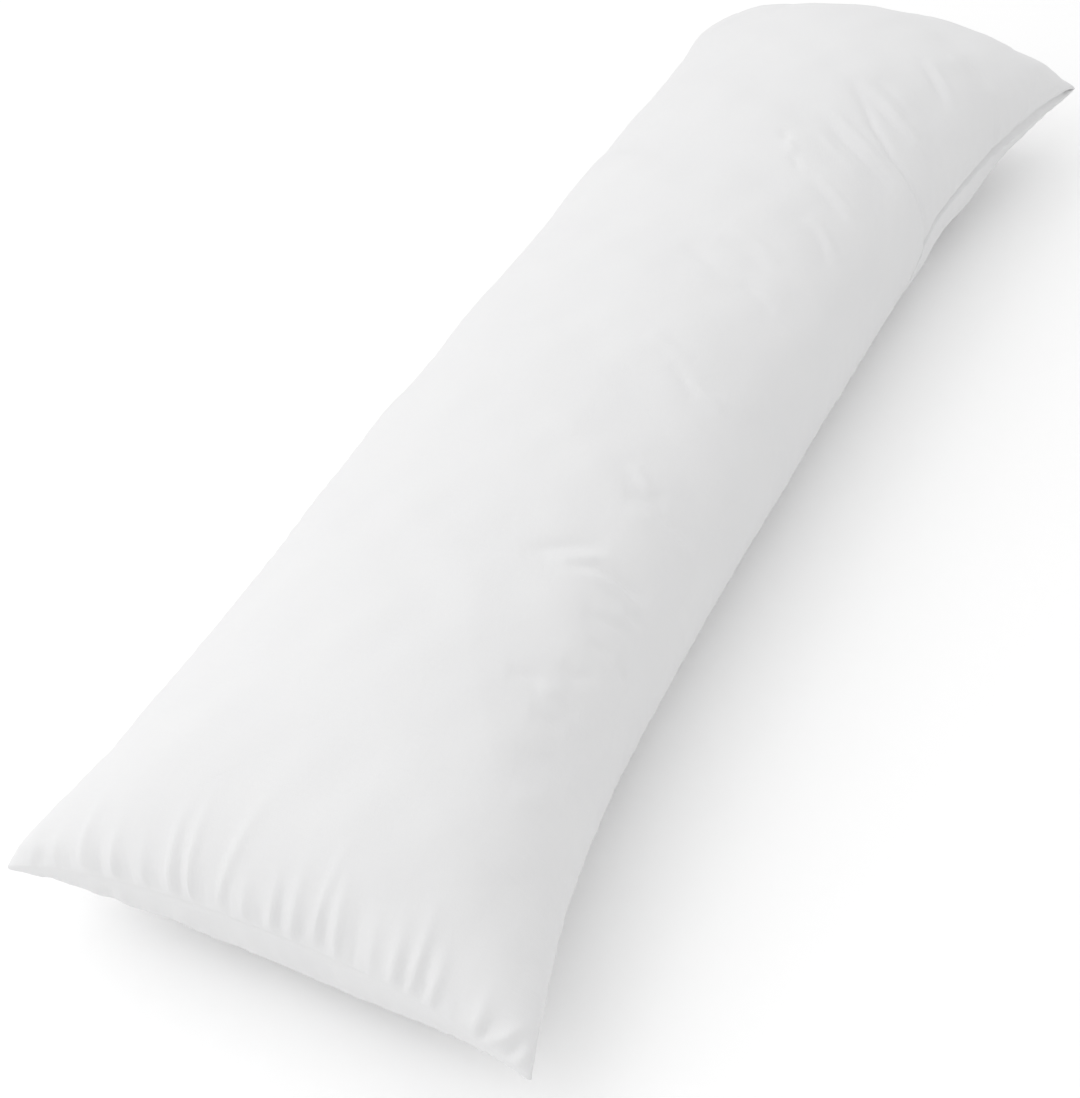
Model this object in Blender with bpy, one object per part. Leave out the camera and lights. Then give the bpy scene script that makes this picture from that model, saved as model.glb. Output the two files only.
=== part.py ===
"""Body pillow, 20 by 60 inches: two cut panels of white cotton, sewn together round the edge, turned and filled.

Metres, +Z up. The pillow lies on its back along X, its near end at -X, its flat underside on z = 0 under the origin.
Each panel starts as a flat grid whose u and v run from -1 to 1 along and across the cut cloth.
"""

from collections import namedtuple

import bmesh
import bpy
import numpy as np

MM = 0.001

# The cut panels, flat
CUT_LENGTH = 1.524
CUT_WIDTH = 0.508

# The filled pillow, measured corner to corner and at the seams
TIP_LENGTH = 1.468
TIP_WIDTH = 0.484
SIDE_DRAW = 0.0655      # each long side draws in this far at its middle
LEFT_FULLER = 0.0237    # but the left side stays out this much more than the right one, past the near end
FULLER_STARTS = (-0.94, 0.95)   # in u: it is nought here at the near end and the far end
FULLER_REACHES = (0.73, 0.49)   # and takes this much of u to grow
END_DRAW = 0.019        # each end seam draws in this far at its middle
SEAM_HEIGHT = 0.107     # side seams above the bed
CROWN_RISE = 0.125      # crown above the side seams
NEAR_LEFT_HEIGHT = 0.076
NEAR_RIGHT_HEIGHT = 0.074
FAR_LEFT_HEIGHT = 0.068
FAR_RIGHT_HEIGHT = 0.080

# How the fullness fades towards the seams, and how far the draw and the corners reach
ACROSS_POWER = 0.50
ALONG_SPREAD = 6.3
ALONG_POWER = 0.58
SIDE_SPREAD = 3.9
END_SPREAD = 2.3
CORNER_SPREAD = 3.6
SIDE_OVERHANG = 0.004   # the filled cloth stands this far past a side seam
NEAR_OVERHANG = 0.006   # the face panel stands this far past the near end's seam
FAR_OVERHANG = 0.020    # and this far past the far end's
BACK_OVERHANG = 0.018   # and the back panel this far past both
BED_FULLNESS = 0.85     # the back panel lies flat on the bed where it is fuller than this
BED_ROUNDING = 1.4
FAR_LIFT = 0.25         # the far end's back panel hangs this much slacker, and so lifts off the bed sooner
REST_HEIGHT = 0.003     # cloth that would hang less than this above the bed lies on it

# Grid cells of one panel, cut finer near the end seams and the creases
CELLS_ALONG = 60
CELLS_ACROSS = 20
END_ZONE = 0.15
CREASE_ZONES = (0.030, 0.018)
WALK_STEPS = 400
NUDGE = 1e-4            # step in u and v for reading the cloth's slope

# Gathers in the end seam, in mm: place across at the seam, length, half width, height, lean of the inner end
Gather = namedtuple("Gather", "across length width height lean")
GATHERS = (
    Gather(199, 36, 8, 2.0, 0),
    Gather(168, 70, 9, 3.0, -14),
    Gather(135, 42, 7, 3.0, -2),
    Gather(105, 40, 8, 2.5, -2),
    Gather(79, 68, 7, 3.5, -6),
    Gather(60, 76, 6, 3.5, -6),
    Gather(36, 104, 8, 4.0, -30),
    Gather(10, 38, 6, 2.5, -2),
    Gather(-15, 46, 6, 3.0, -3),
    Gather(-34, 56, 7, 3.5, -2),
    Gather(-52, 92, 6, 3.5, -9),
    Gather(-75, 64, 7, 4.0, 6),
    Gather(-125, 52, 8, 4.5, 4),
    Gather(-142, 68, 6, 3.5, 3),
    Gather(-161, 46, 6, 4.0, 5),
    Gather(-200, 46, 8, 3.0, -2),
    Gather(-222, 40, 8, 3.0, -20),
)
FAR_SHARE = 0.8         # the far end gathers less
BACK_SHARE = 0.25       # and the back panel less still
SEAM_SHARE = 0.35       # of a gather's height is left where it meets the seam
GATHER_PEAK = 0.3       # share of its length at which a gather stands highest

# Creases of the face panel, in mm from its middle, along to the far end and across to the left.
# A height above nought is a ridge, below it a trough, and bow is how far the crease bends sideways
Crease = namedtuple("Crease", "along0 across0 along1 across1 bow width height")
CREASES = (
    Crease(-358, -74, -312, -140, 0, 7, -2.0),
    Crease(-364, -92, -324, -146, 2, 7, 2.5),
    Crease(-356, -108, -336, -196, 9, 6, -3.0),
    Crease(-354, -122, -337, -210, 2, 7, 3.0),
    Crease(-229, -110, -231, -142, 0, 6, 2.0),
    Crease(-243, -114, -243, -148, 0, 6, -2.0),
    Crease(450, -50, 353, -250, -43, 8, -4.0),
    Crease(412, -70, 327, -184, -14, 8, 3.0),
    Crease(442, -78, 398, -136, -4, 8, 3.0),
    Crease(424, -124, 398, -176, 0, 8, 2.5),
    Crease(512, -112, 484, -172, 0, 9, 2.0),
    Crease(354, -42, 318, -130, -4, 9, -2.5),
    Crease(253, -96, 234, -158, 0, 8, 2.5),
    Crease(186, -118, 163, -176, 0, 9, 2.0),
)

CLOTH_COLOUR = (0.86, 0.86, 0.87, 1.0)
CLOTH_ROUGHNESS = 0.85


def smooth(share):
    share = np.clip(share, 0, 1)
    return share**2 * (3 - 2 * share)


def fullness_across(v):
    return np.clip(1 - np.abs(v) ** 2, 0, 1) ** ACROSS_POWER


def fullness_along(u):
    return np.clip(1 - np.abs(u) ** ALONG_SPREAD, 0, 1) ** ALONG_POWER


def overhang(fullness, place):
    """Share of the overhang at a fullness between 0 at the seam and 1 at the crown."""
    return 6.75 * fullness**2 * (1 - fullness) * np.clip(1.3 * np.abs(place) - 0.3, 0, 1)


def seam_height(u, v):
    """Height of the sheet that holds the whole seam: level along the sides, lower at each corner."""
    corners = (
        NEAR_LEFT_HEIGHT * (1 - u) * (1 + v)
        + NEAR_RIGHT_HEIGHT * (1 - u) * (1 - v)
        + FAR_LEFT_HEIGHT * (1 + u) * (1 + v)
        + FAR_RIGHT_HEIGHT * (1 + u) * (1 - v)
    ) / 4
    share = np.abs(u) ** CORNER_SPREAD * v**2
    return SEAM_HEIGHT * (1 - share) + corners * share


def filled_point(u, v, side):
    """Place of a point of the filled pillow, side 1 on the face panel and -1 on the back."""
    across, along = fullness_across(v), fullness_along(u)
    draw = 1 - np.abs(u) ** SIDE_SPREAD
    half_width = TIP_WIDTH / 2 - SIDE_DRAW * draw
    half_length = TIP_LENGTH / 2 - END_DRAW * np.abs(u) ** 5 * (1 - np.abs(v) ** END_SPREAD)
    face_overhang = np.where(u < 0, NEAR_OVERHANG, FAR_OVERHANG)
    end_overhang = np.where(side > 0, face_overhang, BACK_OVERHANG) * overhang(along, u) * (1 - v**4)
    x = u * half_length + np.sign(u) * end_overhang
    fuller = smooth((u - FULLER_STARTS[0]) / FULLER_REACHES[0])
    fuller = fuller * smooth((FULLER_STARTS[1] - u) / FULLER_REACHES[1])
    y = v * half_width + np.sign(v) * SIDE_OVERHANG * overhang(across, v) * draw
    y += LEFT_FULLER * fuller * ((1 + v) / 2) ** 2
    seam = seam_height(u, v)
    full = across * along
    face = seam + CROWN_RISE * full
    on_bed = full * (1 - FAR_LIFT * smooth(2 * u - 1)) / BED_FULLNESS
    back = seam * np.clip(1 - on_bed, 0, 1) ** BED_ROUNDING
    return np.stack([x, y, np.where(side > 0, face, back)], -1)


def evenly(place, curve):
    """Moves places from 0 to 1 so that equal steps of cloth are equal lengths of the curve."""
    steps = np.sin(np.linspace(0, np.pi / 2, WALK_STEPS))
    lengths = np.linalg.norm(np.diff(curve(steps), axis=0), axis=1)
    walked = np.concatenate([[0], np.cumsum(lengths)])
    return np.interp(place, walked / walked[-1], steps)


def wrapped(u, v):
    """Cloth places that the filling has drawn towards the crown."""
    along = evenly(np.abs(u), lambda q: filled_point(q, 0 * q, 1))
    across = evenly(np.abs(v), lambda q: filled_point(0 * q, q, 1))
    near_end = np.abs(u) ** 8
    near_crown = np.sqrt(1 - v**2)
    return (
        np.sign(u) * (along * near_crown + np.abs(u) * (1 - near_crown)),
        np.sign(v) * (across * (1 - near_end) + np.abs(v) * near_end),
    )


def surface(u, v, side):
    return filled_point(*wrapped(u, v), side)


def outward(u, v, side):
    """Unit normals of the filled cloth."""
    inner_u, inner_v = u * (1 - 2 * NUDGE), v * (1 - 2 * NUDGE)
    along = surface(inner_u + NUDGE, inner_v, side) - surface(inner_u - NUDGE, inner_v, side)
    across = surface(inner_u, inner_v + NUDGE, side) - surface(inner_u, inner_v - NUDGE, side)
    normal = np.cross(along, across) * np.sign(side)[:, None]
    return normal / np.maximum(np.linalg.norm(normal, axis=1, keepdims=True), 1e-12)


def gather_height(u, v):
    """Height of the end seams' gathers, and how far inside the seam the place is, from 0 on it to 1."""
    inside = (1 - np.abs(u)) * CUT_LENGTH / 2
    across = v * CUT_WIDTH / 2 * -np.sign(u)
    height = np.zeros_like(u)
    for row in GATHERS:
        share = inside / (row.length * MM)
        ridge_line = (row.across + row.lean * share) * MM
        fade = smooth(np.interp(share, [0, GATHER_PEAK, 1], [SEAM_SHARE, 1, 0]))
        height += row.height * MM * fade * np.exp(-(((across - ridge_line) / (row.width * MM)) ** 2))
    height *= np.where(u < 0, 1, FAR_SHARE)
    return height, np.clip(inside / 0.012, 0, 1)


def crease_height(u, v):
    """Height of the face panel's ridges and troughs."""
    cloth = np.stack([u * CUT_LENGTH / 2, v * CUT_WIDTH / 2], -1)
    height = np.zeros_like(u)
    for row in CREASES:
        start = np.array([row.along0, row.across0]) * MM
        run = np.array([row.along1, row.across1]) * MM - start
        length = np.linalg.norm(run)
        share = (cloth - start) @ run / length**2
        aside = (cloth - start) @ np.array([-run[1], run[0]]) / length
        aside = aside + 4 * row.bow * MM * share * (1 - share)
        fade = np.sin(np.pi * np.clip(share, 0, 1)) ** 0.7
        height += row.height * MM * fade * np.exp(-((aside / (row.width * MM)) ** 2))
    return height


def pillow_points(u, v, side):
    """The filled cloth with its gathers and creases, flat where it rests."""
    points = surface(u, v, side)
    gather, off_seam = gather_height(u, v)
    share = np.where(side > 0, 1, BACK_SHARE * off_seam + (1 - off_seam))
    relief = gather * share + np.where(side > 0, crease_height(u, v), 0)
    up = np.array([0.0, 0.0, 1.0])
    direction = outward(u, v, side) * off_seam[:, None] + up * (1 - off_seam)[:, None]
    resting = points[:, 2] < REST_HEIGHT
    points = points + relief[:, None] * direction
    points[resting, 2] = 0
    points[:, 2] = np.maximum(points[:, 2], 0)
    return points


def near_crease(along, across, zone):
    """Whether a cloth place in metres lies this near to a crease."""
    for row in CREASES:
        middle = np.array([row.along0 + row.along1, row.across0 + row.across1]) * MM / 2
        run = np.array([row.along1 - row.along0, row.across1 - row.across0]) * MM
        length = np.linalg.norm(run)
        away = np.array([along, across]) - middle
        share = away @ run / length**2
        aside = (away[1] * run[0] - away[0] * run[1]) / length
        aside += row.bow * MM * (1 - 4 * share**2)
        if abs(share) < 0.5 and abs(aside) < zone:
            return True
    return False


def cut_finer(mesh, wanted):
    """Halves the edges whose middle and direction the test wants."""
    edges = [edge for edge in mesh.edges if wanted(*edge.verts)]
    bmesh.ops.subdivide_edges(mesh, edges=edges, cuts=1, use_grid_fill=True)


def in_end_zone(first, last):
    inside = (1 - min(abs(first.co.x), abs(last.co.x))) * CUT_LENGTH / 2
    return inside < END_ZONE


def across_near_end(first, last):
    runs_across = abs(first.co.y - last.co.y) > abs(first.co.x - last.co.x)
    return runs_across and first.co.x < 0 and in_end_zone(first, last)


def on_seam(point):
    return max(abs(point.co.x), abs(point.co.y)) > 1 - 1e-6


def at_crease(first, last, zone):
    """Whether an edge of the face panel lies near a crease. The seam's edges stay as the back panel has them."""
    if first.co.z < 0 or on_seam(first) and on_seam(last):
        return False
    middle = (first.co + last.co) / 2
    return near_crease(middle.x * CUT_LENGTH / 2, middle.y * CUT_WIDTH / 2, zone)


def split_corner_cells(mesh):
    """Joins each corner to its cell's inner point, so that the corner keeps its thickness."""
    corners = [point for point in mesh.verts if min(abs(point.co.x), abs(point.co.y)) > 1 - 1e-6]
    for corner in corners:
        inner = min(corner.link_faces[0].verts, key=lambda point: point.co.length)
        bmesh.ops.connect_vert_pair(mesh, verts=[corner, inner])


def sewn_panels():
    """Two flat panels, back to back: z holds the side of the pillow that a point belongs to."""
    mesh = bmesh.new()
    bmesh.ops.create_grid(mesh, x_segments=CELLS_ALONG, y_segments=CELLS_ACROSS, size=1)
    cut_finer(mesh, in_end_zone)
    cut_finer(mesh, across_near_end)
    split_corner_cells(mesh)
    back = bmesh.ops.duplicate(mesh, geom=mesh.verts[:] + mesh.edges[:] + mesh.faces[:])["geom"]
    back_points = {item for item in back if isinstance(item, bmesh.types.BMVert)}
    back_faces = [item for item in back if isinstance(item, bmesh.types.BMFace)]
    bmesh.ops.reverse_faces(mesh, faces=back_faces)
    for point in mesh.verts:
        point.co.z = -1 if point in back_points else 1
    for zone in CREASE_ZONES:
        cut_finer(mesh, lambda first, last: at_crease(first, last, zone))
    return mesh


def make_pillow():
    mesh = sewn_panels()
    flat = np.array([point.co for point in mesh.verts])
    placed = pillow_points(flat[:, 0], flat[:, 1], flat[:, 2])
    sewn = [point for point in mesh.verts if on_seam(point)]
    for point, place in zip(mesh.verts, placed):
        point.co = place
    bmesh.ops.remove_doubles(mesh, verts=sewn, dist=1e-5)
    bmesh.ops.triangulate(mesh, faces=mesh.faces)
    data = bpy.data.meshes.new("pillow")
    mesh.to_mesh(data)
    mesh.free()
    data.shade_smooth()
    return bpy.data.objects.new("pillow", data)


def white_cotton():
    material = bpy.data.materials.new("white cotton")
    material.use_nodes = True
    shader = material.node_tree.nodes["Principled BSDF"]
    shader.inputs["Base Color"].default_value = CLOTH_COLOUR
    shader.inputs["Roughness"].default_value = CLOTH_ROUGHNESS
    shader.inputs["Metallic"].default_value = 0.0
    return material


for old in list(bpy.data.objects):
    bpy.data.objects.remove(old)
collection = bpy.data.collections.new("body pillow")
bpy.context.scene.collection.children.link(collection)
pillow = make_pillow()
pillow.data.materials.append(white_cotton())
collection.objects.link(pillow)
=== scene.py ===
"""Looks of the body pillow: its filled cloth with gathers, creases and a sewn edge, its cotton, and a studio.

Metres, +Z up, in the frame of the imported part. The pillow lies on its back along X, its near end at -X and
its left side at +Y.
"""

from collections import namedtuple

import bmesh
import bpy
import numpy as np
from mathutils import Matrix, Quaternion, Vector


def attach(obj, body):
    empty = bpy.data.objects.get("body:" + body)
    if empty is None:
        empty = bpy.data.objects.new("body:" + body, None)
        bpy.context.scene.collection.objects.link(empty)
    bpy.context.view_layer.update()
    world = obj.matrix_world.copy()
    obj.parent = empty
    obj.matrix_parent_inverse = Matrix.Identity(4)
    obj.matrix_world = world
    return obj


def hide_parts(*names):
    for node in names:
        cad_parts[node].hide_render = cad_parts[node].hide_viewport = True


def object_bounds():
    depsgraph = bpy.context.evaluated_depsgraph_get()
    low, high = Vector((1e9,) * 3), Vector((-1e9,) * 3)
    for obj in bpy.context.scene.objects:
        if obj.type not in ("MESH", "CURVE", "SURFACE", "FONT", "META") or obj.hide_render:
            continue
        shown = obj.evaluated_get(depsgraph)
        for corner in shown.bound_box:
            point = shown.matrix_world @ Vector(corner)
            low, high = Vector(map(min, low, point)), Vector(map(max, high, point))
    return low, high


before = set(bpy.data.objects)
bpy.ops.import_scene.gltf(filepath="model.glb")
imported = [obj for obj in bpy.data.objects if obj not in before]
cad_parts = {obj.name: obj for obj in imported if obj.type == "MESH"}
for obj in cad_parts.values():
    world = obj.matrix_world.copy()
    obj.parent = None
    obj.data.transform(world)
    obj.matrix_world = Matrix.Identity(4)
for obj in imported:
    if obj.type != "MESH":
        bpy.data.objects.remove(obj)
part_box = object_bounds()

# -----------------------------------------------------------------------------------------------------------
# The two cut panels. Each is a rectangle of white cotton percale, 20 by 60 inches, cut on the straight grain.
# They start as flat grids of cloth places, finest along the edges and where the cloth gathers and creases.
# -----------------------------------------------------------------------------------------------------------

MM = 0.001
CUT_LENGTH = 1.524
CUT_WIDTH = 0.508

# Stretches of the grid in mm, from the near end to the far end and from the right side to the left
Stretch = namedtuple("Stretch", "length cell")
ALONG_STRETCHES = (
    Stretch(6, 0.75),
    Stretch(132, 3.9),
    Stretch(126, 5.2),
    Stretch(206, 3.0),
    Stretch(572, 4.4),
    Stretch(252, 3.6),
    Stretch(224, 5.1),
    Stretch(6, 0.75),
)
ACROSS_STRETCHES = (
    Stretch(6, 0.75),
    Stretch(496, 2.8),
    Stretch(6, 0.75),
)
FACE, BACK = 1, -1
BACK_STEP = 2       # the back panel takes every second line of the grid, and all of them where it is sewn


def grid_lines(stretches, cut_size):
    """Places of the grid's lines, -1 to 1 over the cut cloth, an even number of cells in each stretch."""
    lines = [0.0]
    for stretch in stretches:
        cells = 2 * round(stretch.length / stretch.cell / 2)
        lines.extend(lines[-1] + np.arange(1, cells + 1) * stretch.length * MM / cells)
    return np.array(lines) / cut_size * 2 - 1


along_lines = grid_lines(ALONG_STRETCHES, CUT_LENGTH)
across_lines = grid_lines(ACROSS_STRETCHES, CUT_WIDTH)
last_line = np.array([len(along_lines) - 1, len(across_lines) - 1])


def cut_panel(mesh, side, step):
    """A flat grid of points: x and y count the grid's lines, and z holds the side that the panel is on."""
    cells = last_line // step
    points = bmesh.ops.create_grid(mesh, x_segments=cells[0], y_segments=cells[1], size=1)["verts"]
    for point in points:
        line = [round((point.co[axis] + 1) / 2 * cells[axis]) * step for axis in (0, 1)]
        point.co = (*line, side)
    for corner in [point for point in points if len(point.link_faces) == 1]:
        inner = max(corner.link_faces[0].verts, key=lambda point: (point.co - corner.co).length)
        bmesh.ops.connect_vert_pair(mesh, verts=[corner, inner])
    if side == BACK:
        faces = {face for point in points for face in point.link_faces}
        bmesh.ops.reverse_faces(mesh, faces=list(faces))
    if step > 1:
        edges = {edge for point in points for edge in point.link_edges if edge.is_boundary}
        bmesh.ops.subdivide_edges(mesh, edges=list(edges), cuts=step - 1)


# -----------------------------------------------------------------------------------------------------------
# The filling. Loose polyester fibre, blown in through one end, rounds the panels out to 232 mm. The sides
# draw in between four raised corners, the crown runs nearly to the end seams, and the back lies flat.
# -----------------------------------------------------------------------------------------------------------

TIP_LENGTH = part_box[1][0] - part_box[0][0]    # from corner to corner
TIP_WIDTH = part_box[1][1] - part_box[0][1]
CORNER_ROUND = 0.009    # the corners are turned out no sharper than this

SIDE_DRAW = 0.0655      # each long side draws in this far at its middle
SIDE_SPREAD = 3.9       # with a greater number the draw reaches nearer to the corners
LEFT_FULLER = 0.0237    # the left side stays out this much more than the right one
LEFT_FULLER_POWER = 2   # and less and less towards the right, by this power
FULLER_STARTS = (-0.94, 0.95)   # in u: it is nought here at the near end and the far end
FULLER_REACHES = (0.73, 0.49)   # and takes this much of u to grow
RIGHT_TIP = 0.007       # the near right corner is pulled out sideways this far
RIGHT_TIP_POWER = 4     # and the cloth to the left of it less, by this power
RIGHT_TIP_START = -0.72         # in u: it starts here
RIGHT_TIP_REACH = 0.28          # and takes this much of u to grow
END_DRAW = 0.019        # each end seam draws in this far at its middle
END_SPREAD = 2.3        # with a greater number the draw reaches nearer to the corners
END_DRAW_POWER = 5      # how fast it fades towards the middle of the pillow

SEAM_HEIGHT = 0.107     # the side seams lie this high above the bed, and the four corners lower
NEAR_LEFT_HEIGHT = 0.081
NEAR_RIGHT_HEIGHT = 0.074
FAR_LEFT_HEIGHT = 0.068
FAR_RIGHT_HEIGHT = 0.083
CORNER_SPREAD = 3.6     # how fast the height of a corner fades along the pillow
CORNER_TURN = 2.5       # and across it

CROWN_RISE = part_box[1][2] - SEAM_HEIGHT
ACROSS_POWER = 0.50     # how the fullness fades towards the side seams
ALONG_SPREAD = 6.3      # and how near to the end seams it stays full
ALONG_POWER = 0.58      # and how it fades there
SIDE_OVERHANG = 0.004   # the filled cloth stands this far past a side seam
NEAR_OVERHANG = 0.006   # the face panel stands this far past the near end's seam
FAR_OVERHANG = 0.020    # and this far past the far end's
BACK_OVERHANG = 0.018   # and the back panel this far past both
OVERHANG_PEAK = 27 / 4  # brings the highest value of the overhang's curve to 1
OVERHANG_EASE = 0.3     # keeps it off the middle of the panel
OVERHANG_POWER = 4      # how near to the corners an end's overhang reaches

BED_FULLNESS = 0.85     # the back panel lies flat on the bed where it is fuller than this
BED_ROUNDING = 1.4      # and curves down to it by this power
FAR_LIFT = 0.25         # the far end's back panel hangs this much slacker, and so lifts off the bed sooner
FAR_LIFT_START = 0.5    # in u: it starts here
BED_BLEND = 0.008       # the back panel, with its relief, eases down to the bed from this height

END_THREADS = 8         # how near to an end seam the threads still draw towards the crown
WALK_STEPS = 400
NUDGE = 1e-4            # step in u and v for reading the cloth's slope


def smooth(share):
    share = np.clip(share, 0, 1)
    return share**2 * (3 - 2 * share)


def fullness_across(v):
    return np.clip(1 - np.abs(v) ** 2, 0, 1) ** ACROSS_POWER


def fullness_along(u):
    return np.clip(1 - np.abs(u) ** ALONG_SPREAD, 0, 1) ** ALONG_POWER


def overhang(fullness, place):
    """Share of the overhang at a fullness between 0 at the seam and 1 at the crown."""
    off_middle = np.clip((1 + OVERHANG_EASE) * np.abs(place) - OVERHANG_EASE, 0, 1)
    return OVERHANG_PEAK * fullness**2 * (1 - fullness) * off_middle


def blunt(u, v):
    """Draws the points near a corner in to a quarter round."""
    reach = np.array([CORNER_ROUND * 2 / TIP_LENGTH, CORNER_ROUND * 2 / TIP_WIDTH])
    inside = np.clip((np.abs([u, v]).T - 1 + reach) / reach, 0, 1)
    drawn = inside * np.sqrt(1 - inside[:, ::-1] ** 2 / 2) - inside
    return u + np.sign(u) * drawn[:, 0] * reach[0], v + np.sign(v) * drawn[:, 1] * reach[1]


def seam_height(u, v):
    """Height of the sheet that holds the whole seam: level along the sides, lower at each corner."""
    corners = (
        NEAR_LEFT_HEIGHT * (1 - u) * (1 + v)
        + NEAR_RIGHT_HEIGHT * (1 - u) * (1 - v)
        + FAR_LEFT_HEIGHT * (1 + u) * (1 + v)
        + FAR_RIGHT_HEIGHT * (1 + u) * (1 - v)
    ) / 4
    share = np.abs(u) ** CORNER_SPREAD * np.abs(v) ** CORNER_TURN
    return SEAM_HEIGHT * (1 - share) + corners * share


def filled_point(u, v, side):
    """Place of a point of the filled pillow, from its place u, v on the panel, each from -1 to 1."""
    across, along = fullness_across(v), fullness_along(u)
    draw = 1 - np.abs(u) ** SIDE_SPREAD
    half_width = TIP_WIDTH / 2 - SIDE_DRAW * draw
    end_draw = END_DRAW * np.abs(u) ** END_DRAW_POWER
    half_length = TIP_LENGTH / 2 - end_draw * (1 - np.abs(v) ** END_SPREAD)
    face_overhang = np.where(u < 0, NEAR_OVERHANG, FAR_OVERHANG)
    end_overhang = np.where(side > 0, face_overhang, BACK_OVERHANG) * overhang(along, u)
    blunt_u, blunt_v = blunt(u, v)
    x = blunt_u * half_length + np.sign(u) * end_overhang * (1 - v**OVERHANG_POWER)
    y = blunt_v * half_width + np.sign(v) * SIDE_OVERHANG * overhang(across, v) * draw
    fuller = smooth((u - FULLER_STARTS[0]) / FULLER_REACHES[0])
    fuller = fuller * smooth((FULLER_STARTS[1] - u) / FULLER_REACHES[1])
    y += LEFT_FULLER * fuller * ((1 + v) / 2) ** LEFT_FULLER_POWER
    tip = smooth((RIGHT_TIP_START - u) / RIGHT_TIP_REACH)
    y -= RIGHT_TIP * tip * ((1 - v) / 2) ** RIGHT_TIP_POWER
    seam = seam_height(u, v)
    full = across * along
    face = seam + CROWN_RISE * full
    lift = FAR_LIFT * smooth((u - FAR_LIFT_START) / (1 - FAR_LIFT_START))
    on_bed = full * (1 - lift) / BED_FULLNESS
    back = seam * np.clip(1 - on_bed, 0, 1) ** BED_ROUNDING
    return np.stack([x, y, np.where(side > 0, face, back)], -1)


def evenly(place, curve):
    """Moves places from 0 to 1 so that equal steps of cloth are equal lengths of the curve."""
    steps = np.sin(np.linspace(0, np.pi / 2, WALK_STEPS))
    lengths = np.linalg.norm(np.diff(curve(steps), axis=0), axis=1)
    walked = np.concatenate([[0], np.cumsum(lengths)])
    return np.interp(place, walked / walked[-1], steps)


def surface(u, v, side):
    """The filled cloth, with its threads drawn towards the crown by the filling."""
    along = evenly(np.abs(u), lambda q: filled_point(q, 0 * q, FACE))
    across = evenly(np.abs(v), lambda q: filled_point(0 * q, q, FACE))
    near_end = np.abs(u) ** END_THREADS
    near_crown = np.sqrt(1 - v**2)
    drawn_u = np.sign(u) * (along * near_crown + np.abs(u) * (1 - near_crown))
    drawn_v = np.sign(v) * (across * (1 - near_end) + np.abs(v) * near_end)
    return filled_point(drawn_u, drawn_v, side)


def outward(u, v, side):
    """Unit normals of the filled cloth."""
    inner_u, inner_v = u * (1 - 2 * NUDGE), v * (1 - 2 * NUDGE)
    along = surface(inner_u + NUDGE, inner_v, side) - surface(inner_u - NUDGE, inner_v, side)
    across = surface(inner_u, inner_v + NUDGE, side) - surface(inner_u, inner_v - NUDGE, side)
    normal = np.cross(along, across) * np.sign(side)[:, None]
    return normal / np.maximum(np.linalg.norm(normal, axis=1, keepdims=True), 1e-12)


# -----------------------------------------------------------------------------------------------------------
# The roll of the cover. The corners and ends hold the cloth in place, but between them it has turned round
# the filling: the right seam has gone under, out of sight from above, and the left one has come up a little.
# -----------------------------------------------------------------------------------------------------------

ROLL = 0.054            # the right seam goes this far under
LEFT_SHARE = 0.6        # and the left one comes up this share of it
ROLL_STARTS = (-1.0, 0.52)      # in u: it is nought here at the near end and the far end
ROLL_REACHES = (0.5, 0.18)      # and takes this much of u to grow
LEFT_EASE = 0.6         # and this much more from the far end, at the left seam


def rolled(u, v, side):
    """How far round the filling a place of the cloth lies: -1 to 1 over the face, and on to 2 on the back."""
    around = np.where(side > 0, v, np.where(v < 0, -2, 2) - v)
    leftness = (1 + np.sin(np.pi / 2 * around)) / 2
    far_reach = ROLL_REACHES[1] + LEFT_EASE * leftness**2
    share = smooth((u - ROLL_STARTS[0]) / ROLL_REACHES[0]) * smooth((ROLL_STARTS[1] - u) / far_reach)
    turn = 1 - (1 - LEFT_SHARE) * leftness
    around = around - ROLL / (CUT_WIDTH / 2) * share * turn
    return (around + 2) % 4 - 2


# -----------------------------------------------------------------------------------------------------------
# Gathers of the end seams. The filling pushes the cloth over the straight seam, so it folds into short ridges
# that start at the stitches and die out on the crown. They are deepest on the face panel of the near end.
# -----------------------------------------------------------------------------------------------------------

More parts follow.
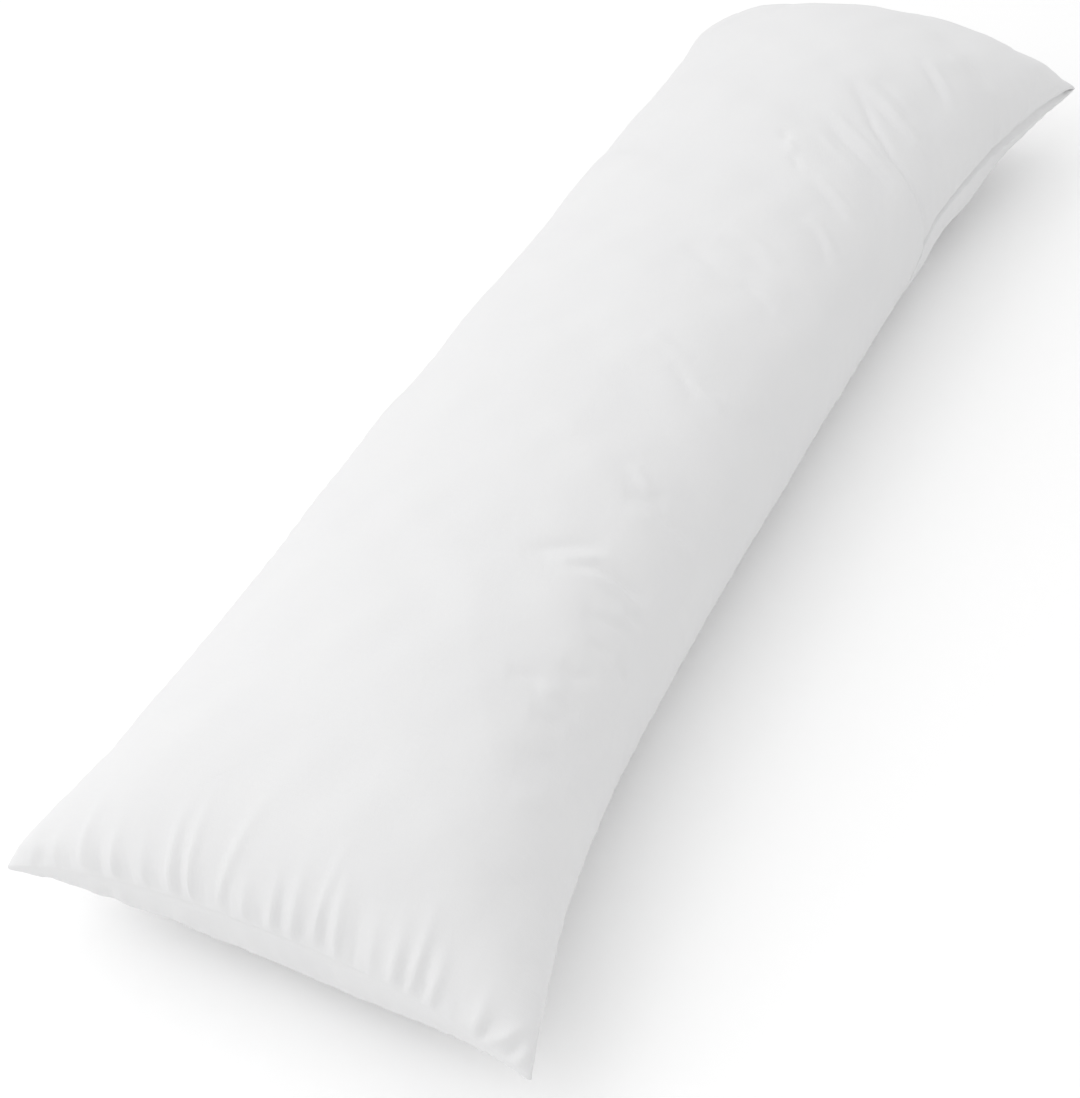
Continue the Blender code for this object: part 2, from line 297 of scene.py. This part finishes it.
# In mm: place across at the seam, length, half width, height, and lean of the inner end towards the left.
# The places are the near end's, and the far end has them the other way round.
Gather = namedtuple("Gather", "across length width height lean")
GATHERS = (
    Gather(222, 36, 5, 1.8, -8),
    Gather(196, 58, 5.4, 2.2, -4),
    Gather(181, 34, 3.6, -1.4, -2),
    Gather(165, 92, 5.4, 2.9, -6),
    Gather(148, 46, 3.6, -1.7, -3),
    Gather(132, 66, 4.5, 2.7, -4),
    Gather(117, 42, 3.6, -1.5, -1),
    Gather(102, 66, 5.4, 2.4, -4),
    Gather(88, 44, 3.6, -1.5, 0),
    Gather(76, 98, 4.5, 3.2, -8),
    Gather(67, 80, 3.1, -2.2, -4),
    Gather(57, 110, 4, 3.2, -8),
    Gather(45, 52, 3.6, -1.4, -6),
    Gather(33, 122, 4.5, 2.9, -32),
    Gather(22, 50, 3.6, -1.5, -4),
    Gather(7, 60, 4.5, 2.6, -4),
    Gather(-8, 42, 3.6, -1.7, 0),
    Gather(-18, 70, 4, 2.8, -5),
    Gather(-27, 70, 3.1, -2.2, 2),
    Gather(-37, 84, 4.5, 3.5, -4),
    Gather(-46, 46, 3.1, -1.5, -4),
    Gather(-55, 112, 3.6, 2.9, -13),
    Gather(-66, 58, 3.1, -2.2, 3),
    Gather(-78, 92, 4.5, 3.7, 6),
    Gather(-92, 82, 5.4, -2.4, 2),
    Gather(-108, 70, 4.5, 2, 4),
    Gather(-128, 78, 5.4, 3.7, 4),
    Gather(-137, 54, 3.1, -2.4, 3),
    Gather(-145, 96, 4, 3.5, 3),
    Gather(-155, 62, 3.1, -2.2, 5),
    Gather(-164, 70, 4.5, 3.3, 5),
    Gather(-184, 56, 6, -1.6, 4),
    Gather(-200, 62, 6, 3, -2),
    Gather(-206, 40, 3.5, -2.2, -12),
    Gather(-213, 50, 5, 3.4, -34),
    Gather(-226, 36, 4, -1.8, -22),
    Gather(-237, 36, 4, 2.6, -18),
)
FAR_SHARE = 0.7         # the far end gathers less
BACK_SHARE = 0.3        # and the back panel less still
SEAM_SHARE = 0.35       # of a gather's height is left where it meets the seam
GATHER_PEAK = 0.25      # share of its length at which a gather stands highest
SEAM_WIDTH = 0.7        # share of its width that a gather has where it meets the seam
GATHER_SPREAD = 0.7     # and it is wider by this share where it dies out
LEAN_END = 1.2          # share of its length at which it stops leaning
CREST = 1.6             # a plain bump has 2 here, and a sharper fold has less
SEAM_EASE = 0.012       # over this far from the seam a panel's relief turns from straight up to straight out
END_EASE = 0.03         # creases die out this far from an end seam


def gather_height(u, v):
    inside = (1 - np.abs(u)) * CUT_LENGTH / 2
    across = v * CUT_WIDTH / 2 * -np.sign(u)
    height = np.zeros_like(u)
    for row in GATHERS:
        share = inside / (row.length * MM)
        ridge_line = (row.across + row.lean * np.minimum(share, LEAN_END)) * MM
        fade = smooth(np.interp(share, [0, GATHER_PEAK, 1], [SEAM_SHARE, 1, 0]))
        width = row.width * MM * (SEAM_WIDTH + GATHER_SPREAD * share)
        height += row.height * MM * fade * np.exp(-(np.abs((across - ridge_line) / width) ** CREST))
    return height * np.where(u < 0, 1, FAR_SHARE)


# -----------------------------------------------------------------------------------------------------------
# Creases of the face panel. Percale keeps the dents it gets in the sack and on the shelf: soft ridges and
# troughs slant down the right side, the longest of them from the crown to the side seam near the far end.
# -----------------------------------------------------------------------------------------------------------

# The line is places in mm, along towards the far end and round towards the left, past 254 on the back.
# A height below nought makes a trough.
Crease = namedtuple("Crease", "height width line")
CREASES = (
    # the pinch on the right side, a third of the way up
    Crease(-2.0, 6, ((-362, -72), (-338, -102), (-316, -136))),
    Crease(2.2, 5, ((-362, -96), (-343, -120), (-322, -146))),
    Crease(-2.6, 5, ((-356, -112), (-340, -136), (-338, -164), (-333, -194))),
    Crease(2.9, 5, ((-364, -108), (-354, -134), (-347, -158), (-346, -184), (-338, -214))),
    Crease(-2.0, 6, ((-360, -176), (-352, -206))),
    Crease(2.0, 6, ((-378, -150), (-366, -178), (-358, -210))),
    Crease(-2.4, 6, ((-391, -144), (-379, -170), (-368, -204))),
    Crease(-2.2, 6, ((-412, -160), (-405, -190))),
    Crease(-2.4, 6, ((-405, -192), (-410, -222))),
    Crease(-2.2, 6, ((-444, -150), (-448, -166), (-430, -184))),
    Crease(-1.7, 6, ((-480, -114), (-468, -146))),
    Crease(1.7, 6, ((-480, -142), (-466, -166))),
    Crease(1.7, 5, ((-476, -180), (-482, -200))),
    Crease(-2.6, 7, ((-500, -146), (-494, -180))),
    Crease(-1.8, 7, ((-540, -150), (-528, -178), (-530, -204))),
    Crease(1.8, 7, ((-575, -160), (-556, -196))),
    # the soft turn from the crown to the right side, above the near corner and before the far one
    Crease(6.0, 42, ((-380, -40), (-456, -70), (-511, -106), (-564, -147), (-630, -195))),
    Crease(5.0, 44, ((430, -70), (520, -122), (600, -160), (690, -195))),
    Crease(4.5, 40, ((-200, -130), (-300, -140), (-450, -150), (-600, -170), (-690, -200))),
    # the fuller tips of the far right and the near left corner
    Crease(5, 34, ((600, -186), (680, -206), (730, -212), (752, -190), (760, -130))),
    Crease(4.5, 30, ((-640, 208), (-705, 226), (-760, 240), (-820, 252))),
    # the dimple in the middle
    Crease(2.2, 6, ((-222, -112), (-232, -130), (-240, -146))),
    Crease(-2.8, 8, ((-258, -120), (-247, -142), (-240, -162))),
    Crease(2.2, 6, ((-276, -130), (-264, -158), (-262, -190), (-258, -220))),
    Crease(-1.8, 6, ((-254, -152), (-250, -180), (-248, -206))),
    Crease(2.0, 6, ((-66, -50), (-70, -78), (-76, -104))),
    Crease(2.2, 6, ((-98, -110), (-104, -132), (-104, -158))),
    Crease(-2.0, 6, ((-91, -86), (-112, -130))),
    # the long crease near the far end, which runs over the right seam, and those beside it
    Crease(
        -3.8,
        5,
        (
            *((432, -64), (404, -90), (374, -117), (352, -154)),
            *((346, -192), (348, -232), (357, -262), (350, -310)),
        ),
    ),
    Crease(2.4, 6, ((372, -56), (350, -96), (337, -132), (329, -172), (332, -206))),
    Crease(-2.2, 6, ((352, -60), (330, -98), (316, -136), (308, -176))),
    Crease(1.8, 7, ((330, -60), (306, -98), (294, -140))),
    Crease(-2.0, 7, ((414, -92), (400, -128), (392, -164))),
    Crease(2.8, 7, ((438, -70), (424, -102), (412, -134), (406, -170), (407, -198))),
    Crease(-1.7, 7, ((452, -84), (440, -118), (430, -152))),
    Crease(-2.4, 6, ((524, -104), (500, -144), (484, -172))),
    Crease(1.9, 6, ((532, -114), (514, -146), (498, -176))),
    Crease(-1.9, 6, ((588, -140), (587, -166), (577, -190))),
    Crease(1.6, 6, ((562, -128), (572, -156))),
    Crease(-2.0, 4, ((551, -268), (556, -240), (566, -208))),
    # shorter ones along the right side
    Crease(-1.8, 5, ((304, -36), (286, -52))),
    Crease(1.8, 5, ((292, -48), (268, -66))),
    Crease(-1.8, 5, ((270, -60), (250, -82))),
    Crease(2.4, 6, ((249, -98), (241, -128), (233, -160))),
    Crease(-2.0, 6, ((236, -96), (228, -128), (221, -156))),
    Crease(2.2, 7, ((190, -116), (178, -148), (163, -174))),
    Crease(-1.8, 6, ((176, -122), (166, -146), (152, -168))),
    Crease(2.2, 8, ((118, -48), (117, -84), (106, -122))),
    Crease(-1.8, 7, ((102, -52), (100, -86), (90, -118))),
    Crease(-2.0, 6, ((54, -98), (48, -122), (44, -146))),
    Crease(-1.8, 8, ((78, -22), (54, -84))),
    # the fuller shoulder at the far left corner
    Crease(12, 50, ((490, 195), (600, 206), (675, 210), (704, 186), (708, 140), (706, 95))),
    # faint streaks over the left side
    Crease(1.6, 9, ((318, 166), (270, 40))),
    Crease(1.6, 9, ((288, 200), (212, 72))),
    Crease(1.6, 12, ((60, 150), (-20, 60))),
    Crease(-1.8, 12, ((-300, 170), (-420, 190), (-540, 180))),
)
CREASE_FADE = 0.8       # with a smaller number a crease keeps its height nearer to its ends
CREASE_SPREAD = 0.9     # a crease is this much wider at its ends


def crease_height(u, around):
    cloth = np.stack([u * CUT_LENGTH / 2, around * CUT_WIDTH / 2], -1)
    height = np.zeros_like(u)
    for row in CREASES:
        line = np.array(row.line) * MM
        lengths = np.linalg.norm(np.diff(line, axis=0), axis=1)
        walked = np.concatenate([[0], np.cumsum(lengths)])
        nearest = np.full_like(u, 1e9)
        share = np.zeros_like(u)
        for start, end, length, before in zip(line, line[1:], lengths, walked):
            step = np.clip((cloth - start) @ (end - start) / length**2, 0, 1)
            away = np.linalg.norm(cloth - start - step[:, None] * (end - start), axis=1)
            share = np.where(away < nearest, (before + step * length) / walked[-1], share)
            nearest = np.minimum(away, nearest)
        fade = np.sin(np.pi * share) ** CREASE_FADE
        width = row.width * MM * (1 + CREASE_SPREAD * (2 * share - 1) ** 2)
        height += row.height * MM * fade * np.exp(-((nearest / width) ** CREST))
    return height


# -----------------------------------------------------------------------------------------------------------
# The sewn edge and the slack. The seam is sewn inside out and turned, so only a narrow groove shows, with
# small puckers where the thread draws the cloth in. The fibre leaves shallow lumps over the crown and sides.
# -----------------------------------------------------------------------------------------------------------

SIDE_GROOVE = 0.0080    # depth of the groove at the side seams
END_GROOVE = 0.0008     # and at the end seams, which the filling pushes open
GROOVE_WIDTH = 0.0016
WELD = 1e-5             # edge points of the two panels that lie this near are one
Pucker = namedtuple("Pucker", "pitch height reach")
PUCKERS = (Pucker(0.021, 0.0012, 0.024), Pucker(0.009, 0.0006, 0.012))
Lump = namedtuple("Lump", "pitch height")
LUMPS = (Lump(0.16, 0.0018), Lump(0.06, 0.0005))
LUMP_EASE = 0.05        # the lumps die out this far from the seam
WAVES = 7               # summed for each uneven ripple
WAVE_RANGE = (0.7, 1.5)         # their pitches, as shares of the ripple's
RIPPLE_PEAK = 1.6       # a ripple seldom stands higher than this share of its usual height
draws = np.random.default_rng(20260)


def ripple(cloth, pitch):
    """Uneven waves of about one pitch over cloth places in metres, mostly between -1 and 1."""
    total = np.zeros(len(cloth))
    for _ in range(WAVES):
        turn, phase = draws.uniform(0, 2 * np.pi, 2)
        wave = 2 * np.pi / (pitch * draws.uniform(*WAVE_RANGE))
        total += np.cos(cloth @ [np.cos(turn), np.sin(turn)] * wave + phase)
    return total / np.sqrt(WAVES / 2) / RIPPLE_PEAK


def pucker_height(u, v):
    """Small ridges across the seam, spaced along it and dying out inwards."""
    inside_ends = (1 - np.abs(u)) * CUT_LENGTH / 2
    inside_sides = (1 - np.abs(v)) * CUT_WIDTH / 2
    height = np.zeros_like(u)
    for inside, along_seam in ((inside_ends, v * CUT_WIDTH / 2), (inside_sides, u * CUT_LENGTH / 2)):
        end_of_seam = np.column_stack([along_seam, np.zeros_like(u)])
        for pucker in PUCKERS:
            height += pucker.height * ripple(end_of_seam, pucker.pitch) * np.exp(-inside / pucker.reach)
    return height


def pillow_points(u, v, side):
    """Places of the filled cloth with all its relief, flat where it rests."""
    around = rolled(u, v, side)
    on_face = np.abs(around) <= 1
    across = np.where(on_face, around, np.sign(around) * 2 - around)
    points = surface(u, across, np.where(on_face, FACE, BACK))
    cloth = np.stack([u * CUT_LENGTH / 2, v * CUT_WIDTH / 2], -1)
    inside_ends = (1 - np.abs(u)) * CUT_LENGTH / 2
    inside_sides = (1 - np.abs(v)) * CUT_WIDTH / 2
    inside = np.minimum(inside_ends, inside_sides)
    off_seam = np.clip(inside / SEAM_EASE, 0, 1)
    off_end = np.clip(inside_ends / SEAM_EASE, 0, 1)
    sewn_relief = gather_height(u, across) * np.where(on_face, 1, BACK_SHARE * off_seam + (1 - off_seam))
    panel_relief = crease_height(u, around) * smooth(inside_ends / END_EASE)
    for lump in LUMPS:
        panel_relief += lump.height * ripple(cloth, lump.pitch) * smooth(inside / LUMP_EASE)
    panel_relief += pucker_height(u, v) * off_seam
    panel_relief -= SIDE_GROOVE * np.exp(-((inside_sides / GROOVE_WIDTH) ** 2)) * off_end
    face_normal = outward(u, across, np.full_like(u, FACE))
    back_normal = outward(u, across, np.full_like(u, BACK))
    normal = np.where(on_face[:, None], face_normal, back_normal)
    end_normal = face_normal + back_normal
    end_normal /= np.maximum(np.linalg.norm(end_normal, axis=1, keepdims=True), 1e-9)
    direction = normal * off_seam[:, None] + np.array([0.0, 0.0, 1.0]) * (1 - off_seam)[:, None]
    raised = points + sewn_relief[:, None] * direction + panel_relief[:, None] * normal
    raised -= (END_GROOVE * np.exp(-((inside_ends / GROOVE_WIDTH) ** 2)))[:, None] * end_normal
    low = np.where(on_face, 1, smooth(points[:, 2] / BED_BLEND))
    raised[:, 2] = np.maximum(raised[:, 2], 0) * low
    return raised


def sew_pillow():
    """Both panels, placed and joined at their shared edge into one closed skin."""
    mesh = bmesh.new()
    cut_panel(mesh, FACE, 1)
    cut_panel(mesh, BACK, BACK_STEP)
    flat = np.array([point.co for point in mesh.verts])
    u = np.interp(flat[:, 0], np.arange(len(along_lines)), along_lines)
    v = np.interp(flat[:, 1], np.arange(len(across_lines)), across_lines)
    cloth_place = mesh.verts.layers.float_vector.new("cloth")
    edge = [point for point in mesh.verts if point.is_boundary]
    for point, place, along, across in zip(mesh.verts, pillow_points(u, v, flat[:, 2]), u, v):
        point.co = place
        point[cloth_place] = (along * CUT_LENGTH / 2, across * CUT_WIDTH / 2, 0)
    bmesh.ops.remove_doubles(mesh, verts=edge, dist=WELD)
    data = bpy.data.meshes.new("pillow_cover")
    mesh.to_mesh(data)
    mesh.free()
    data.shade_smooth()
    return bpy.data.objects.new("pillow_cover", data)


pillow = sew_pillow()
bpy.context.scene.collection.objects.link(pillow)


# -----------------------------------------------------------------------------------------------------------
# Cotton percale, bleached white, plain woven and pressed. It is matt with the faint bloom of short fibres,
# its threads are a little uneven, and the thin cloth lets some of the white filling's light back through.
# -----------------------------------------------------------------------------------------------------------

BLEACHED_WHITE = "#EAEAEA"
SHADED_WHITE = "#E5E5E6"
COTTON_ROUGHNESS = (0.82, 0.92)
THREAD_PITCH_MM = 1.5   # percale has a thread every 0.3 mm, too fine to show: drawn five times coarser
THREAD_RELIEF_MM = 0.04
SLUB_LENGTH_MM = 40     # thicker stretches of a thread
SLUB_RELIEF_MM = 0.05
CRINKLE_MM = 22         # fine creases left by pressing and packing
CRINKLE_RELIEF_MM = 0.5
PATCH_MM = 90           # cloudy patches, whiter where the cloth lies close on the filling
PATCH_SHARE = 0.6       # of the way from the shaded to the bleached white that they take
SLUB_SHARE = 0.2
COTTON_IOR = 1.47
COTTON_SPECULAR = 0.25  # fibres scatter what they mirror
COTTON_SHEEN = 0.04
COTTON_SHEEN_ROUGHNESS = 0.5


def linear(hex_colour):
    """Linear RGBA from an sRGB hex value."""
    channels = [int(hex_colour[place : place + 2], 16) / 255 for place in (1, 3, 5)]
    return (*[c / 12.92 if c <= 0.04045 else ((c + 0.055) / 1.055) ** 2.4 for c in channels], 1.0)


def add_node(tree, kind, settings=None, links=None):
    """Adds a node. Settings are its values by name, or sockets by number or name, and links join sockets."""
    node = tree.nodes.new(kind)
    for name, value in (settings or {}).items():
        if isinstance(name, str) and hasattr(node, name):
            setattr(node, name, value)
        else:
            node.inputs[name].default_value = value
    for name, socket in (links or {}).items():
        tree.links.new(socket, node.inputs[name])
    return node


def cotton_percale():
    material = bpy.data.materials.new("white_cotton_percale")
    material.use_nodes = True
    tree = material.node_tree
    shader = tree.nodes["Principled BSDF"]
    place = add_node(tree, "ShaderNodeAttribute", {"attribute_name": "cloth"}).outputs["Vector"]
    to_mm = {"operation": "SCALE", "Scale": 1 / MM}
    in_mm = add_node(tree, "ShaderNodeVectorMath", to_mm, {0: place}).outputs[0]
    split = add_node(tree, "ShaderNodeSeparateXYZ", links={0: in_mm})

    def maths(operation, first, second=0.0):
        node = add_node(tree, "ShaderNodeMath", {"operation": operation})
        for number, value in enumerate((first, second)):
            if isinstance(value, (int, float)):
                node.inputs[number].default_value = value
            else:
                tree.links.new(value, node.inputs[number])
        return node.outputs[0]

    # a thread under, then over: each set is round across itself and waves along itself
    warp_wave = maths("SINE", maths("MULTIPLY", split.outputs["X"], np.pi / THREAD_PITCH_MM))
    weft_wave = maths("SINE", maths("MULTIPLY", split.outputs["Y"], np.pi / THREAD_PITCH_MM))
    crossing = maths("MULTIPLY", warp_wave, weft_wave)
    warp = maths("ADD", maths("ABSOLUTE", weft_wave), crossing)
    weft = maths("SUBTRACT", maths("ABSOLUTE", warp_wave), crossing)
    weave = maths("MULTIPLY", maths("MAXIMUM", warp, weft), THREAD_RELIEF_MM / 2)

    slubs = []
    long, thick = 1 / SLUB_LENGTH_MM, 1 / THREAD_PITCH_MM
    for stretch in ((long, thick, 1), (thick, long, 1)):
        stretched = {"operation": "MULTIPLY", 1: stretch}
        thread = add_node(tree, "ShaderNodeVectorMath", stretched, {0: in_mm}).outputs[0]
        noise = add_node(tree, "ShaderNodeTexNoise", {"Scale": 1.0, "Detail": 1.0}, {0: thread})
        slubs.append(noise.outputs["Fac"])
    slub = maths("ADD", slubs[0], slubs[1])
    crinkle = add_node(
        tree,
        "ShaderNodeTexNoise",
        {"Scale": 1 / CRINKLE_MM, "Detail": 3.0, "Roughness": 0.55, "Distortion": 0.6},
        {0: in_mm},
    ).outputs["Fac"]
    relief = maths("ADD", weave, maths("MULTIPLY", slub, SLUB_RELIEF_MM))
    relief = maths("ADD", relief, maths("MULTIPLY", crinkle, CRINKLE_RELIEF_MM))
    bump = add_node(tree, "ShaderNodeBump", {"Strength": 1.0, "Distance": MM}, {"Height": relief})

    cloudy = {"Scale": 1 / PATCH_MM, "Detail": 2.0}
    patches = add_node(tree, "ShaderNodeTexNoise", cloudy, {0: in_mm}).outputs["Fac"]
    shade = maths("ADD", maths("MULTIPLY", patches, PATCH_SHARE), maths("MULTIPLY", slub, SLUB_SHARE))
    colour = add_node(
        tree,
        "ShaderNodeMix",
        {"data_type": "RGBA", 6: linear(SHADED_WHITE), 7: linear(BLEACHED_WHITE)},
        {0: shade},
    ).outputs[2]
    rough = add_node(
        tree,
        "ShaderNodeMapRange",
        {"To Min": COTTON_ROUGHNESS[0], "To Max": COTTON_ROUGHNESS[1]},
        {"Value": crinkle},
    ).outputs[0]
    tree.links.new(colour, shader.inputs["Base Color"])
    tree.links.new(rough, shader.inputs["Roughness"])
    tree.links.new(bump.outputs[0], shader.inputs["Normal"])
    shader.inputs["IOR"].default_value = COTTON_IOR
    shader.inputs["Specular IOR Level"].default_value = COTTON_SPECULAR
    shader.inputs["Sheen Weight"].default_value = COTTON_SHEEN
    shader.inputs["Sheen Roughness"].default_value = COTTON_SHEEN_ROUGHNESS
    return material


pillow.data.materials.append(cotton_percale())
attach(pillow, "root")
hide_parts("pillow")

# -----------------------------------------------------------------------------------------------------------
# The studio: a wide floor in matt white paint, two large softboxes, one off the near end and one on the left,
# and a white surround that is brightest overhead, and a little brighter towards the far end and the left.
# -----------------------------------------------------------------------------------------------------------

FLOOR_SIZE = 30.0
FLOOR_WHITE = "#FFFFFF"
SURROUND_STRENGTH = 0.589
SURROUND_RISE = (0.131, 0.082, 0.435)   # the strength rises this much along each axis
SOFTBOX_SIZE = 3.0
SOFTBOX_AIM = (0.0, 0.0, 0.1)
Softbox = namedtuple("Softbox", "name power place")
SOFTBOXES = (
    Softbox("near_softbox", 24.0, (-2.2, 1.27, 2.65)),
    Softbox("left_softbox", 12.8, (0.0, 2.55, 2.65)),
)

floor_mesh = bmesh.new()
bmesh.ops.create_grid(floor_mesh, x_segments=4, y_segments=4, size=FLOOR_SIZE / 2)
floor_data = bpy.data.meshes.new("floor")
floor_mesh.to_mesh(floor_data)
floor_mesh.free()
floor = bpy.data.objects.new("floor", floor_data)
bpy.context.scene.collection.objects.link(floor)
matt_white = bpy.data.materials.new("matt_white_paint")
matt_white.use_nodes = True
paint = matt_white.node_tree.nodes["Principled BSDF"]
paint.inputs["Base Color"].default_value = linear(FLOOR_WHITE)
paint.inputs["Roughness"].default_value = 1.0
paint.inputs["Specular IOR Level"].default_value = 0.0
floor_data.materials.append(matt_white)

surround = bpy.data.worlds.new("surround")
surround.use_nodes = True
backdrop = surround.node_tree.nodes["Background"]
direction = add_node(surround.node_tree, "ShaderNodeTexCoord").outputs["Generated"]
rise = add_node(
    surround.node_tree,
    "ShaderNodeVectorMath",
    {"operation": "DOT_PRODUCT", 1: SURROUND_RISE},
    {0: direction},
).outputs["Value"]
strength = add_node(
    surround.node_tree,
    "ShaderNodeMath",
    {"operation": "ADD", 1: SURROUND_STRENGTH},
    {0: rise},
)
surround.node_tree.links.new(strength.outputs[0], backdrop.inputs["Strength"])
backdrop.inputs["Color"].default_value = (1, 1, 1, 1)
bpy.context.scene.world = surround

for row in SOFTBOXES:
    softbox_data = bpy.data.lights.new(row.name, "AREA")
    softbox_data.size = SOFTBOX_SIZE
    softbox_data.energy = row.power
    softbox = bpy.data.objects.new(row.name, softbox_data)
    softbox.location = row.place
    softbox.rotation_mode = "QUATERNION"
    softbox.rotation_quaternion = (Vector(SOFTBOX_AIM) - Vector(row.place)).to_track_quat("-Z", "Y")
    bpy.context.scene.collection.objects.link(softbox)
bpy.context.scene.view_settings.view_transform = "Standard"

# -----------------------------------------------------------------------------------------------------------
# The camera stands past the near end, to the right of the pillow, and looks down along it. It is turned a
# little about its own line of sight, and its frame cuts close round the pillow.
# -----------------------------------------------------------------------------------------------------------

CAMERA_TARGET = (-0.238, -0.0043, 0.09)
CAMERA_HEADING = np.radians(32.15)      # round from the pillow's length towards its left
CAMERA_DROP = np.radians(42.34)         # below level
CAMERA_ROLL = np.radians(-7.73)
CAMERA_DISTANCE = 1.7525
LENS_MM = 61.74
SENSOR_MM = 36.0

level = np.cos(CAMERA_DROP)
backward = Vector(
    (-np.cos(CAMERA_HEADING) * level, -np.sin(CAMERA_HEADING) * level, np.sin(CAMERA_DROP))
)
camera_data = bpy.data.cameras.new("camera")
camera_data.lens = LENS_MM
camera_data.sensor_width = SENSOR_MM
camera = bpy.data.objects.new("camera", camera_data)
camera.location = Vector(CAMERA_TARGET) + backward * CAMERA_DISTANCE
camera.rotation_mode = "QUATERNION"
camera.rotation_quaternion = (-backward).to_track_quat("-Z", "Y") @ Quaternion((0, 0, 1), CAMERA_ROLL)
bpy.context.scene.collection.objects.link(camera)
bpy.context.scene.camera = camera
